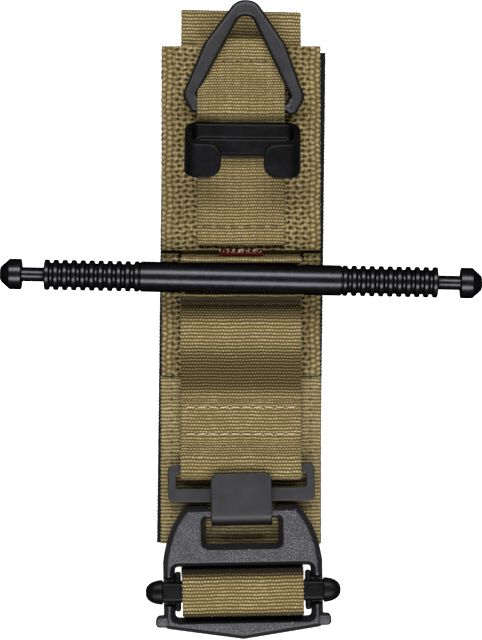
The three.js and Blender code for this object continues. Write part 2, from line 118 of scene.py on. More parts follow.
NOTCH = {"y": 18.2, "half": 19.4}  # in the middle panel, where the strap comes up
BACKING = {"top": 85, "bottom": -70.8, "width": 51.8, "turn": -0.7}
TOP_FOLD = {"slant": 0.024, "from_y": 80, "over": 10, "shown": (61, 92)}  # the strap's fold, which lies askew
SLACK = {"crest": SEWN_Z + 5.1, "split": -13.5}  # the strap's hump before the windlass
STITCH_PITCH = {"tension": 3.4, "strip_top": 4.4, "strip_bottom": 4.5, "tail_hem": 3.4}
CAMERA = {"height": 0.713, "lens": 125.2}


# ---------- Formulas that work on arrays and on shader nodes ----------

class Term:
    """A number in a shader's node tree. A formula written with Terms becomes Math nodes."""

    def __init__(self, tree, socket):
        self.tree = tree
        self.socket = socket

    def math(self, operation, other=None, swapped=False, clamped=False):
        node = self.tree.nodes.new("ShaderNodeMath")
        node.operation = operation
        node.use_clamp = clamped
        for socket, value in zip(node.inputs, (other, self) if swapped else (self, other)):
            if isinstance(value, Term):
                self.tree.links.new(value.socket, socket)
            elif value is not None:
                socket.default_value = value
        return Term(self.tree, node.outputs[0])

    def __add__(self, other):
        return self.math("ADD", other)

    def __sub__(self, other):
        return self.math("SUBTRACT", other)

    def __rsub__(self, other):
        return self.math("SUBTRACT", other, swapped=True)

    def __mul__(self, other):
        return self.math("MULTIPLY", other)

    __radd__ = __add__
    __rmul__ = __mul__


def for_both(operation, function):
    return lambda x: x.math(operation) if isinstance(x, Term) else function(x)


cos = for_both("COSINE", np.cos)
floor = for_both("FLOOR", np.floor)
exp = for_both("EXPONENT", np.exp)
absolute = for_both("ABSOLUTE", np.abs)


def fraction(x):
    return x - floor(x)


def clamp(x):
    return x.math("MULTIPLY", 1.0, clamped=True) if isinstance(x, Term) else np.clip(x, 0, 1)


def wave(x, pitch):
    """From 0 to 1 and back over each pitch, 1 at 0."""
    return 0.5 + 0.5 * cos(x * (2 * PI / pitch))


def bell(x, width):
    """1 at 0, falling to nothing a little beyond the width."""
    scaled = x * (1 / width)
    return exp(0.0 - scaled * scaled)


def crown(x, pitch):
    """A round yarn's height across each pitch."""
    across = fraction(x * (1 / pitch)) * 2 - 1
    return 1 - across * across


# ---------- Weaves: height of the surface, from 0 in a pit to 1 on a yarn ----------

def uneven(u, v, amount):
    """Lets a weave wander, as yarns do: a small shift of one coordinate that changes along the other."""
    return amount * (cos(u * 0.31 + v * 0.07) + 0.6 * cos(u * 1.3 + 2.0 * cos(v * 0.7)))


def plain_weave(u, v, row, column, dots=0.32):
    """Yarns that run along the webbing and pass over and under its rows in turn."""
    v = v + uneven(u, v, 0.08)
    over = 0.5 + 0.5 * cos((v * (1 / row) + floor(u * (1 / column))) * PI)
    return (dots * over + (1 - dots) * wave(v, row)) * (0.62 + 0.38 * crown(u, column))


def strap_weave(u, v):
    return plain_weave(u, v, 1.04, 0.48)


def strip_weave(u, v):
    breaks = bell(fraction(u * (1 / 2.5) + 0.5) - 0.5, 0.06)
    return plain_weave(u, v, 0.97, 0.42, 0.36) * (1 - 0.3 * breaks)


def fine_weave(u, v):
    """Flat ribs right across, with a pit in every third row near both edges."""
    row, edge = 1.12, 21.9
    v = v + uneven(u, v, 0.09)
    rib = 0.25 + 0.57 * wave(v, row) + 0.18 * wave(u + 0.24 * floor(v * (1 / row)), 0.96)
    pit = bell(absolute(u) - edge, 0.35) * bell(fraction(v * (1 / row / 3)) - 0.5, 0.12)
    return clamp(rib * (1 - 0.9 * pit))


def coarse_weave(u, v):
    """Thick wavy yarns with slanted pits between them, and two columns of loops along each edge."""
    row, column, edge, loop, slant = 1.6, 2.3, 21.5, 1.95, 0.42
    u, v = u + uneven(v, u, 0.24), v + uneven(u, v, 0.3)
    side = fraction(floor(v * (1 / row)) * 0.5) * 4 - 1
    x = (fraction(u * (1 / column) + 0.13 * side) - 0.5) * column
    y = (fraction(v * (1 / row)) - 0.5) * row
    along = 0.9 * x + slant * side * y
    across = 0.9 * y - slant * side * x
    pit = bell(along, 0.75) * bell(across, 0.4)
    yarn = 0.55 + 0.25 * wave(y + row / 2, row) + 0.2 * wave(x + column / 2 + 0.3 * side, column / 2)
    body = yarn * (1 - pit)
    out = absolute(u) - edge
    loops = (0.5 + 0.5 * crown(out, loop)) * (0.5 + 0.5 * wave(v + 0.8 * floor(out * (1 / loop)), row))
    at_edge = clamp(out * 8)
    groove = bell(out, 0.3)
    return clamp((body * (1 - at_edge) + loops * at_edge) * (1 - 0.25 * groove))


def dimpled(weave, rows):
    """A weave with the needle's holes in it. Each row is (first u, last u, v, pitch)."""
    def height(u, v):
        hole = 0.0
        for first, last, at, pitch in rows:
            near = bell(fraction((u - first) * (1 / pitch) + 0.5) - 0.5, 0.65 / pitch)
            within = clamp((u - first + pitch / 2) * 4) * clamp((last + pitch / 2 - u) * 4)
            hole = near * within * bell(v - at, 0.42) + hole
        return clamp(weave(u, v) * (1 - 0.9 * hole))
    return height


# ---------- Meshes ----------

BOTH, FRONT, BACK = (True, True), (True, False), (False, True)  # webbing's faces with the weave in the mesh
PLAIN_CELL = 1.5  # the mesh's size along webbing whose weave is only in its material


def make_object(name, vertices, faces, placing, uv=None, painted_lighting=None, flat_faces=()):
    """A mesh object from points in millimetres. uv is one pair for each vertex, and the painted light and
    shade that cloth() reads is one number.
    """
    mesh = bpy.data.meshes.new(name)
    mesh.from_pydata((np.asarray(vertices) * MM).tolist(), [], [list(map(int, face)) for face in faces])
    if placing is not None:
        mesh.transform(placing)
    if uv is not None:
        corners = np.zeros(len(mesh.loops), np.int32)
        mesh.loops.foreach_get("vertex_index", corners)
        mesh.uv_layers.new(name="weave").data.foreach_set("uv", np.asarray(uv, np.float32)[corners].ravel())
    if painted_lighting is not None:
        mesh.attributes.new("painted_lighting", "FLOAT", "POINT").data.foreach_set("value", painted_lighting.astype(np.float32))
    mesh.shade_smooth()
    for index in flat_faces:
        mesh.polygons[index].use_smooth = False
    item = bpy.data.objects.new(name, mesh)
    bpy.context.collection.objects.link(item)
    return item


def placed(x=0, y=0, z=0, turn=0, tilt=0):
    """Moves to a place and turns about its vertical line, after a tilt about its x axis."""
    turned = Matrix.Rotation(math.radians(turn), 4, "Z") @ Matrix.Rotation(math.radians(tilt), 4, "X")
    return Matrix.Translation(Vector((x, y, z)) * MM) @ turned


# turns pieces drawn in the base's frame about the hook plate's vertical line
HOOK_TURN = placed(0, HOOK["y"], 0, HOOK["turn"]) @ placed(0, -HOOK["y"])


def arc(start, middle, end, step):
    """Points from start to end round the middle, the short way."""
    first = math.atan2(*(start - middle)[::-1])
    turn = (math.atan2(*(end - middle)[::-1]) - first + PI) % (2 * PI) - PI
    radius = np.hypot(*(start - middle))
    angles = first + turn * np.linspace(0, 1, max(3, int(abs(turn) * radius / step) + 2))
    return [middle + radius * np.array([math.cos(a), math.sin(a)]) for a in angles]


def rounded(corners, closed=True, step=0.3):
    """A path through corners [a, b, radius], its corners rounded by arcs of that radius."""
    points = []
    count = len(corners)
    for i, corner in enumerate(corners):
        at = np.array(corner[:2], float)
        radius = corner[2] if len(corner) > 2 else 0
        if radius == 0 or (not closed and i in (0, count - 1)):
            points.append(at)
            continue
        back = np.array(corners[i - 1][:2], float) - at
        on = np.array(corners[(i + 1) % count][:2], float) - at
        back, on = back / np.hypot(*back), on / np.hypot(*on)
        half = math.acos(np.clip(back @ on, -1, 1)) / 2
        middle = at + (back + on) / np.hypot(*(back + on)) * radius / math.sin(half)
        reach = radius / math.tan(half)
        points += arc(at + back * reach, middle, at + on * reach, step)
    return np.array(points)


def mirrored(corners):
    """An outline's right side, top last, and its left side."""
    return [*corners, *[(-x, *rest) for x, *rest in reversed(corners)]]


def rectangle(x0, x1, y0, y1, radius=0.0):
    return [(x0, y0, radius), (x1, y0, radius), (x1, y1, radius), (x0, y1, radius)]


def stations(length, fine, fine_step, coarse_step):
    """Distances along a route: close together in the fine stretches, far apart elsewhere."""
    marks = {0.0, length}
    for start, end in fine:
        marks |= {max(start, 0.0), min(end, length)}
    marks = sorted(marks)
    places = [np.array([0.0])]
    for start, end in zip(marks, marks[1:]):
        middle = (start + end) / 2
        step = fine_step if any(a <= middle <= b for a, b in fine) else coarse_step
        places.append(np.linspace(start, end, max(2, round((end - start) / step) + 1))[1:])
    return np.concatenate(places)


def along_route(corners):
    """The middle line of webbing along a route."""
    return rounded(corners, closed=False, step=0.25)


def distances(path):
    """How far along a path each of its points is."""
    return np.r_[0, np.cumsum(np.hypot(*np.diff(path, axis=0).T))]


def closed_rows(rows, sides):
    """The points' numbers and the faces of a skin made of rows of points, each row closed on itself."""
    index = np.arange(rows * sides).reshape(rows, sides)
    following = np.roll(index, -1, axis=1)
    return index, np.stack([index[:-1], following[:-1], following[1:], index[1:]], axis=2).reshape(-1, 4)


def painted_hump_lighting(along, z, out_y, top):
    """Painted light and shade on a hump of webbing: 1, painted light, on its top and where it lies flat, 0,
    painted shade, on its slopes and -1, painted shadow, on its steep sides. out_y is how far the surface
    faces along y, from -1 to 1."""
    level, wall, blur, reach = 0.4, 0.75, 1.1, 4
    flat = np.clip(1 - np.abs(out_y) / level, 0, 1)
    steep = np.clip((np.abs(out_y) - wall) * 6, 0, 1)
    near = np.exp(-((along[:, None] - along[None, :]) / blur) ** 2)
    flat, steep = (near @ amount / near.sum(axis=1) for amount in (flat, steep))
    proud = np.clip(1 - (top - z) / reach, 0, 1) ** 2
    return np.maximum(flat, proud) * (1 - steep) - steep


def webbing(name, corners, width, thick, weave, depth, cell, fine=None, faces=BOTH, drop=None, placing=None,
            offset=0.0, hump=None):
    """Woven webbing along a route in the YZ plane, given as corners [y, z, radius] of its middle line.

    cell is the mesh's size across and along. The weave is in the mesh in the fine stretches, on the front
    and the back face as faces says. drop moves points down as a formula of (across, along), offset is the
    weave's start, and hump is the height of the top of a hump that gets painted light on its top and flats
    and painted shade on its slopes and steep sides."""
    path = along_route(corners)
    path = path[np.r_[True, np.hypot(*np.diff(path, axis=0).T) > 1e-4]]
    measured = distances(path)
    fine = [(0, measured[-1])] if fine is None else fine
    along = stations(measured[-1], fine, cell[1], PLAIN_CELL)
    y, z = (np.interp(along, measured, path[:, i]) for i in (0, 1))
    heading = np.unwrap(np.arctan2(np.gradient(z, along), np.gradient(y, along)))
    out_y, out_z = -np.sin(heading), np.cos(heading)
    woven = np.zeros(len(along))
    for start, end in fine:
        woven[(along > start + 0.1) & (along < end - 0.1)] = 1

    edge = thick / 2
    reach = width / 2 - edge
    plain = np.linspace(-reach, reach, 7)
    dense = np.linspace(-reach, reach, max(3, round(2 * reach / cell[0]) + 1))
    front = dense if faces[0] else plain
    back = (dense if faces[1] else plain)[::-1]
    bulge = np.linspace(0, PI, 7)[1:-1]
    side = reach + edge * np.sin(bulge)
    across = np.r_[front, side, back, -side]
    upward = np.r_[np.ones(len(front)), np.cos(bulge), -np.ones(len(back)), -np.cos(bulge)]
    sideways = np.r_[np.zeros(len(front)), np.sin(bulge), np.zeros(len(back)), -np.sin(bulge)]
    ends = np.ones(len(bulge))
    shown = np.r_[np.full(len(front), faces[0]), ends, np.full(len(back), faces[1]), ends]

    s = offset + along
    relief = depth * (weave(across[None, :], s[:, None]) - 1) * woven[:, None] * shown[None, :]
    lift = upward * edge + relief * upward
    x = across[None, :] + relief * sideways
    vertices = np.stack([x, y[:, None] + out_y[:, None] * lift, z[:, None] + out_z[:, None] * lift], axis=2)
    if drop is not None:
        vertices[:, :, 2] -= drop(x, vertices[:, :, 1])

    index, quads = closed_rows(len(along), len(across))
    uv = np.stack([np.broadcast_to(across, index.shape), np.broadcast_to(s[:, None], index.shape)], axis=2)
    caps = [index[0][::-1], index[-1]]
    # painted light and shade along a hump, none elsewhere
    painted_lighting = np.repeat(painted_hump_lighting(along, z, out_y, hump) if hump else np.ones(len(along)), len(across))
    return make_object(name, vertices.reshape(-1, 3), [*quads, *caps], placing, uv.reshape(-1, 2), painted_lighting,
                       flat_faces=(len(quads), len(quads) + 1))


def plate(name, loops, placing=None):
    """A plate from closed outlines. Each loop is (points, profile): the outer one runs counter-clockwise
    and holes clockwise. A profile is (inset, z) from the back edge to the front edge."""
    shape = bmesh.new()
    rims = {0: [], -1: []}
    for points, profile in loops:
        ahead = np.roll(points, -1, axis=0) - points
        ahead /= np.hypot(*ahead.T)[:, None]
        behind = np.roll(ahead, 1, axis=0)
        inward = np.stack([-(ahead + behind)[:, 1], (ahead + behind)[:, 0]], axis=1)
        inward /= np.maximum(np.hypot(*inward.T), 1e-6)[:, None]
        inward /= np.maximum(-behind[:, 1] * inward[:, 0] + behind[:, 0] * inward[:, 1], 0.5)[:, None]
        rings = [[shape.verts.new((*(p + n * inset), z)) for p, n in zip(points, inward)]
                 for inset, z in profile]
        for below, above in zip(rings, rings[1:]):
            for i in range(len(points)):
                j = (i + 1) % len(points)
                shape.faces.new((below[i], below[j], above[j], above[i]))
        for key, rim in rims.items():
            ring = rings[key]
            rim += [shape.edges.get((ring[i], ring[(i + 1) % len(ring)])) for i in range(len(ring))]
    for key, rim in rims.items():
        bmesh.ops.triangle_fill(shape, use_beauty=True, edges=rim, normal=(0, 0, 1 if key else -1))
    bmesh.ops.recalc_face_normals(shape, faces=shape.faces)
    return from_bmesh(name, shape, placing)


def from_bmesh(name, shape, placing=None):
    mesh = bpy.data.meshes.new(name)
    shape.to_mesh(mesh)
    shape.free()
    mesh.transform(Matrix.Scale(MM, 4))
    if placing is not None:
        mesh.transform(placing)
    item = bpy.data.objects.new(name, mesh)
    bpy.context.collection.objects.link(item)
    return item


def turned_bar(name, profile, sides, placing=None):
    """A solid of revolution about x. The profile is (x, radius), from one end on the axis to the other
    end, towards +x."""
    angles = np.linspace(0, 2 * PI, sides, endpoint=False)
    ends = profile[0], profile[-1]
    rings = np.array([[(x, r * math.cos(a), r * math.sin(a)) for a in angles] for x, r in profile[1:-1]])
    index, quads = closed_rows(len(rings), sides)
    first, last = index.size, index.size + 1
    tips = [(first, index[0][(i + 1) % sides], index[0][i]) for i in range(sides)]
    tips += [(last, index[-1][i], index[-1][(i + 1) % sides]) for i in range(sides)]
    vertices = [*rings.reshape(-1, 3), (ends[0][0], 0, 0), (ends[1][0], 0, 0)]
    return make_object(name, vertices, [*quads, *tips], placing)


def round_bar(reach, radius, placing=None):
    return turned_bar("bar", [(-reach, 0), (-reach, radius), (reach, radius), (reach, 0)], 40, placing)


def block(x, y, z):
    """A plain box, as a tool for cutting."""
    shape = bmesh.new()
    bmesh.ops.create_cube(shape, size=1)
    middle = Vector([(a + b) / 2 for a, b in (x, y, z)])
    for corner in shape.verts:
        corner.co = middle + Vector([c * (b - a) for c, (a, b) in zip(corner.co, (x, y, z))])
    return from_bmesh("cutter", shape)


def baked(item):
    """Applies an object's modifiers."""
    depsgraph = bpy.context.evaluated_depsgraph_get()
    item.data = bpy.data.meshes.new_from_object(item.evaluated_get(depsgraph))
    item.modifiers.clear()
    return item


def cut(item, tool):
    """Takes a tool's solid out of an item's."""
    modifier = item.modifiers.new("solid", "BOOLEAN")
    modifier.operation = "DIFFERENCE"
    modifier.solver = "EXACT"
    modifier.object = tool
    baked(item)
    bpy.data.objects.remove(tool)
    return item


def with_added(item, *others):
    """Puts other objects' meshes into an item's, to be fused by softened()."""
    shape = bmesh.new()
    for part in (item, *others):
        shape.from_mesh(part.data)
    bmesh.ops.remove_doubles(shape, verts=shape.verts, dist=1e-7)
    shape.to_mesh(item.data)
    shape.free()
    for part in others:
        bpy.data.objects.remove(part)
    return item


def softened(item, voxel, rounds):
    """Fuses an object into one skin with evenly rounded edges, as a moulded or tumbled part has."""
    remesh = item.modifiers.new("skin", "REMESH")
    remesh.mode = "VOXEL"
    remesh.voxel_size = voxel * MM
    smooth = item.modifiers.new("edges", "SMOOTH")
    smooth.factor = 0.5
    smooth.iterations = rounds
    baked(item)
    item.data.shade_smooth()
    return item


def copy_of(node, name):
    """A CAD node's mesh as an object of its own, with the corners that its faces share joined."""
    item = bpy.data.objects.new(name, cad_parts[node].data.copy())
    item.data.materials.clear()
    bpy.context.collection.objects.link(item)
    return with_added(item)


# ---------- Materials ----------

class Finish:
    """A material with the few kinds of node that the finishes below use."""

    SOCKETS = {"roughness": "Roughness", "metallic": "Metallic", "specular": "Specular IOR Level",
               "tint": "Specular Tint", "sheen": "Sheen Weight", "sheen_roughness": "Sheen Roughness"}

    def __init__(self, name, **settings):
        self.material = bpy.data.materials.new(name)
        self.material.use_nodes = True
        self.tree = self.material.node_tree
        self.shader = self.tree.nodes["Principled BSDF"]
        for setting, value in settings.items():
            self.shader.inputs[self.SOCKETS[setting]].default_value = value

    def node(self, kind, **inputs):
        node = self.tree.nodes.new(kind)
        for name, value in inputs.items():
            self.feed(node.inputs[name], value)
        return node

    def feed(self, socket, value):
        if isinstance(value, Term):
            value = value.socket
        if isinstance(value, bpy.types.NodeSocket):
            self.tree.links.new(value, socket)
        else:
            socket.default_value = value

    def across_and_along(self):
        """The webbing's own coordinates, as Terms."""
        split = self.node("ShaderNodeSeparateXYZ", Vector=self.weave_map())
        return Term(self.tree, split.outputs["X"]), Term(self.tree, split.outputs["Y"])

    def weave_map(self):
        """The mesh's UV map, in millimetres."""
        uv = self.tree.nodes.new("ShaderNodeUVMap")
        uv.uv_map = "weave"
        return uv.outputs["UV"]

    def noise(self, scale, detail, stretch=(1, 1, 1), on_weave=False):
        """Noise of that many features to the millimetre."""
        if on_weave:
            place, size = self.weave_map(), 1
        else:
            place, size = self.tree.nodes.new("ShaderNodeTexCoord").outputs["Object"], 1 / MM
        mapping = self.node("ShaderNodeMapping", Vector=place, Scale=[size * s for s in stretch])
        noise = self.node("ShaderNodeTexNoise", Vector=mapping.outputs[0], Scale=scale, Detail=detail)
        return Term(self.tree, noise.outputs["Fac"])

    def mix(self, factor, first, second):
        node = self.tree.nodes.new("ShaderNodeMix")
        node.data_type = "RGBA"
        self.feed(node.inputs["Factor"], factor)
        self.feed(node.inputs[6], first)
        self.feed(node.inputs[7], second)
        return node.outputs[2]

    def bump(self, height, distance):
        return self.node("ShaderNodeBump", Height=height, Distance=distance * MM, Strength=1.0)

    def finish(self, colour, normal=None, roughness=None):
        self.feed(self.shader.inputs["Base Color"], colour)
        if normal is not None:
            self.feed(self.shader.inputs["Normal"], normal.outputs[0])
        if roughness is not None:
            self.feed(self.shader.inputs["Roughness"], roughness)
        return self.material


def colour(red, green, blue):
    """A colour as it is seen, from 0 to 255, as the shader's light values."""
    seen = [c / 255 for c in (red, green, blue)]
    return (*[((c + 0.055) / 1.055) ** 2.4 if c > 0.04 else c / 12.92 for c in seen], 1)


def cloth(name, weave, pit, yarn, light, bump=0.12):
    """Woven webbing: dark in its pits as painted shade, lighter on its yarns' crowns as painted highlight,
    with painted light on a hump's top and flats, painted shade on its slopes and painted shadow on its steep
    sides, with fibres, uneven dye and a faint sheen."""
    finish = Finish(name, sheen=0.08, sheen_roughness=0.5, specular=0.12)
    u, v = finish.across_and_along()
    height = weave(u, v)
    painted_lighting = finish.tree.nodes.new("ShaderNodeAttribute")
    painted_lighting.attribute_name = "painted_lighting"
    painted_lighting = Term(finish.tree, painted_lighting.outputs["Fac"])
    fibres = finish.noise(1.0, 2.0, (9.0, 2.2, 1.0), on_weave=True)
    dye = finish.noise(0.11, 4.0)
    lots = finish.noise(0.9, 2.0)
    # painted shade: the weave's pits darker, together with a hump's slopes; fibres vary the cloth's own tone
    shade = clamp(height * 1.3 - 0.55 + painted_lighting * 0.55 + (fibres - 0.5) * 0.4)
    tone = finish.mix(shade, pit, yarn)
    # towards the light colour: painted highlight on the yarns' crowns, the cloth's own uneven dye, and
    # painted shade on a hump's slopes
    lit = clamp((height - 0.55) * 1.5 + (lots - 0.5) * 1.4 + (dye - 0.5) * 0.8 + (painted_lighting - 1) * 0.8)
    tone = finish.mix(lit, tone, light)
    # painted shadow on a hump's steep sides
    tone = finish.mix(clamp((0.0 - painted_lighting) * 0.75), tone, SHADE)
    worn = finish.bump(height + fibres * 0.3, bump)
    return finish.finish(tone, worn, clamp(0.92 - height * 0.15))


def thread_finish(name, dark, light):
    """Twisted sewing thread."""
    finish = Finish(name, roughness=0.7, sheen=0.3)
    twist = finish.noise(1.6, 1.0, (2.2, 0.8, 0.8))
    return finish.finish(finish.mix(twist, dark, light), finish.bump(twist, 0.08))


def moulded(name, base, worn, side, roughness, grain, specular=0.5, speckle=0.25):
    """Moulded or coated stuff: a fine grain, slight mottling, edges lighter, partly from use and partly as a
    painted highlight on the rims, and sides, which face away from the object's front, in a darker tone of
    their own as painted shade."""
    finish = Finish(name, specular=specular)
    fine = finish.noise(2.2, 3.0)
    mottle = finish.noise(0.22, 4.0)
    geometry = finish.tree.nodes.new("ShaderNodeNewGeometry")
    # lighter edges towards the second colour, partly from use and partly a painted highlight on the rims
    edge = clamp((Term(finish.tree, geometry.outputs["Pointiness"]) - 0.53) * 9)
    rubbing_and_rim_highlight = clamp(edge * 0.7 + (mottle - 0.5) * 0.5 + (fine - 0.5) * speckle + 0.08)
    normal = finish.tree.nodes.new("ShaderNodeTexCoord").outputs["Normal"]
    upward = Term(finish.tree, finish.node("ShaderNodeSeparateXYZ", Vector=normal).outputs["Z"])
    # painted highlight on the sides' rims
    side = finish.mix(edge * 0.7, side, worn)
    # painted shade: faces that tilt away from straight up take the darker side tone
    tone = finish.mix(clamp((upward - 0.78) * 5), side, finish.mix(rubbing_and_rim_highlight, base, worn))
    return finish.finish(tone, finish.bump(fine, grain), clamp(roughness + (mottle - 0.5) * 0.16))


def anodised_finish():
    """Black-anodised metal, with the fine rings of turning."""
    finish = Finish("black_anodised", metallic=1.0, tint=(0.25, 0.25, 0.26, 1))
    rings = finish.noise(4.0, 2.0, (1.0, 0.02, 0.02))
    mottle = finish.noise(0.5, 3.0)
    tone = finish.mix(mottle, colour(40, 40, 43), colour(58, 58, 62))
    return finish.finish(tone, finish.bump(rings, 0.006), clamp(0.27 + (mottle - 0.5) * 0.1))


# the first colour is the painted shade in the weave's pits, the second the yarns' own colour, the third both
# a lighter dye and painted light
PIT_SHADE = colour(46, 36, 15)
YARN = colour(131, 115, 74)
LIGHT = colour(190, 174, 128)
# the painted shadow on a hump's steep sides
SHADE = colour(22, 17, 9)


# ---------- Webbing ----------

def finished(item, node, body, material):
    """Gives a piece its material and its body in the frame, and hides the CAD node that it stands for."""
    item.data.materials.clear()
    item.data.materials.append(material)
    if node:
        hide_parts(node)
    if body:
        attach(item, body)


strap_cloth = cloth("strap_webbing", strap_weave, PIT_SHADE, YARN, LIGHT)
# each cloth's first colour is the painted shade in its weave's pits
coarse_cloth = cloth("coarse_webbing", coarse_weave, colour(30, 23, 10), colour(108, 93, 58),
                     colour(162, 146, 104), bump=0.2)
fine_cloth = cloth("fine_webbing", fine_weave, colour(40, 31, 14), colour(112, 98, 64),
                   colour(164, 150, 112))
black_cloth = cloth("black_webbing", fine_weave, colour(3, 3, 4), colour(16, 16, 18), colour(34, 34, 37))

COARSE = {"weave": coarse_weave, "depth": 0.6, "cell": (0.25, 0.25)}
FINE = {"weave": fine_weave, "depth": 0.34, "cell": (0.3, 0.28)}
STRAP_CELL = (0.24, 0.26)
STRAP_DEPTH = 0.32
STRIP_CELL = (0.25, 0.25)
STRIP_DEPTH = 0.28


def strap(name, corners, fine=None, placing=None, offset=0.0, faces=BOTH, cell=STRAP_CELL, hump=None):
    return webbing(name, corners, STRAP["width"], STRAP["thick"], strap_weave, STRAP_DEPTH, cell, fine,
                   faces, None, placing, offset, hump)


def panel(name, node, top, dip, weaving):
    """A flat panel, up to the given end. It is sewn down along its sides, so its edges dip."""
    z = midpoint(node).z
    size = span(node)
    sewn = 1.6

    def drop(x, _):
        return dip * np.clip((np.abs(x) - size.x / 2 + sewn) / sewn, 0, 1) ** 2

    return webbing(name, [[low(node).y, z], [top, z]], size.x, size.z, faces=FRONT, drop=drop, **weaving)


def notch_ears():
    """What the middle panel has left on both sides of its notch."""
    z = midpoint("middle_panel").z
    size = span("middle_panel")
    width = size.x / 2 - NOTCH["half"]
    for sign, side in ((-1, "left"), (1, "right")):
        shift = sign * (NOTCH["half"] + width / 2)
        weaving = {**COARSE, "weave": lambda u, v: coarse_weave(u + shift, v)}
        ear = webbing(f"middle_panel_ear_{side}", [[NOTCH["y"] - 0.4, z], [high("middle_panel").y, z]],
                      width, size.z, faces=FRONT, placing=placed(shift), **weaving)
        finished(ear, None, "base", coarse_cloth)


def base_panels():
    upper = panel("upper_panel_webbing", "upper_panel", high("upper_panel").y, 0.5, COARSE)
    finished(upper, "upper_panel", "base", coarse_cloth)
    middle = panel("middle_panel_webbing", "middle_panel", NOTCH["y"], 0.5, COARSE)
    finished(middle, "middle_panel", "base", coarse_cloth)
    notch_ears()
    lower = panel("lower_panel_webbing", "lower_panel", high("lower_panel").y, 0.4, FINE)
    finished(lower, "lower_panel", "base", fine_cloth)

    z = midpoint("backing_panel").z
    backing = webbing("backing_panel_webbing", [[BACKING["bottom"], z], [BACKING["top"], z]],
                      BACKING["width"], span("backing_panel").z, fine_weave, 0.25, (0.6, 0.28), faces=BACK,
                      placing=placed(turn=BACKING["turn"]))
    finished(backing, "backing_panel", "base", black_cloth)


def retaining_strip():
    """Over the ring's bar, through the clip and down to the seam, with the needle's holes at both ends."""
    flat = STRIP_Z + STRIP["thick"] / 2
    over_bar = RING["z"] + RING["bar"] + GAP + STRIP["thick"] / 2
    in_clip = STRIP_Z + CLIP["bar"] + CLIP["strap_slot"] / 2
    clip_top = CLIP["y"] + CLIP["length"] / 2
    clip_end = CLIP["y"] - CLIP["length"] / 2
    top, bottom = high("retaining_strip").y, SEAM + 2.1
    corners = [
        [top, flat],
        [RING["y"] + 10.5, flat, 12],
        [RING["y"] + 1.6, over_bar, 4],
        [RING["y"] - 2.3, over_bar, 1.5],
        [clip_top + 0.8, in_clip, 0.9],
        [clip_end - 0.4, in_clip, 2],
        [clip_end - 3.4, flat, 2],
        [bottom, flat],
    ]
    length = distances(along_route(corners))[-1]
    top_row, bottom_row = (high(f"strip_{end}_stitches").y - 0.3 for end in ("top", "bottom"))
    weave = dimpled(strip_weave, [
        (-5.5, 7.5, top - top_row, STITCH_PITCH["strip_top"]),
        (-11.5, 11.5, length - (bottom_row - bottom), STITCH_PITCH["strip_bottom"]),
    ])
    strip = webbing("retaining_strip_webbing", corners, STRIP["width"], STRIP["thick"], weave, STRIP_DEPTH,
                    STRIP_CELL, faces=BACK)
    finished(strip, "retaining_strip", "base", cloth("strip_webbing", weave, PIT_SHADE, YARN, LIGHT))


def rear_strap():
    """From the seam up inside the base, over its top end and down behind it. The top fold lies askew."""
    front = PANEL_Z + HALF
    fold = (front - REAR_Z) / 2
    top = high("rear_strap").y - HALF
    rear = strap("rear_strap_webbing", [
        [SEAM + 1.5, front],
        [top, front, fold],
        [top, REAR_Z, fold],
        [low("rear_strap").y, REAR_Z],
    ], fine=[TOP_FOLD["shown"]])
    for corner in rear.data.vertices:
        share = np.clip((corner.co.y / MM - TOP_FOLD["from_y"]) / TOP_FOLD["over"], 0, 1)
        corner.co.y -= TOP_FOLD["slant"] * corner.co.x * share
    finished(rear, "rear_strap", "base", strap_cloth)


def folded_tail():
    """The strap's free end, in three layers under the base. Only its lowest layer shows its weave."""
    turn = LAYER / 2
    first, second, third = (n * LAYER - GAP / 2 for n in (2.5, 1.5, 0.5))
    tip = TAIL["hem_end"]
    tail = strap("folded_tail_webbing", [
        [TAIL["end"], first],
        [TAIL["top"], first, turn],
        [TAIL["top"], second, turn],
        [TAIL["bottom"], second, turn],
        [TAIL["bottom"], third, turn],
        [tip, third, turn],
        [tip, second, turn],
        [tip - TAIL["hem"], second],
    ], fine=[TAIL["shown"]], faces=BACK, cell=(0.48, 0.26))
    finished(tail, "folded_tail", "base", strap_cloth)


def lead_straps():
    """From the seam up to the windlass, in two pieces, which meet at the height part."""
    rise = SEAM - 2.5
    slot = WINDLASS["z"]
    end = WINDLASS["y"] + WINDLASS["radius"] + 0.2
    part = 15.0  # the height where the two pieces meet
    flat = PANEL_Z + HALF
    lead = strap("lead_strap_webbing", [[SEAM + 1.1, flat], [rise, flat, 1.2], [rise, part]])
    finished(lead, "lead_strap", None, strap_cloth)
    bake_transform(lead)
    upper = strap("lead_strap_turn", [[rise, part], [rise, slot, 1], [end, slot]])
    finished(upper, None, None, strap_cloth)
    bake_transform(upper)


def slack_straps():
    """The hump from the sewn part of the strap to the windlass, also in two pieces."""
    slot = WINDLASS["z"]
    start = WINDLASS["y"] - WINDLASS["radius"] - 0.2
    crest, split = SLACK["crest"], SLACK["split"]
    path = along_route([
        [TENSION_END + GAP, SEWN_Z],
        [-22, SEWN_Z, 10],
        [-7.5, crest, 14],
        [-0.5, crest, 3.5],
        [5.8, SEWN_Z - 0.6, 1.0],
        [7.1, slot, 0.6],
        [start, slot],
    ])
    following = int(np.argmax(path[:, 0] > split))
    joint = [split, np.interp(split, path[:, 0], path[:, 1])]
    before = [*path[:following], joint]
    after = [joint, *path[following:]]
    # the hump's top and flats painted light, its slopes painted shade and its steep sides painted shadow
    slack = strap("slack_strap_webbing", before, faces=FRONT, hump=crest)
    finished(slack, "slack_strap", None, strap_cloth)
    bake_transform(slack)
    turn = strap("slack_strap_turn", after, faces=FRONT, offset=distances(before)[-1], hump=crest)
    finished(turn, None, None, strap_cloth)
    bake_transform(turn)


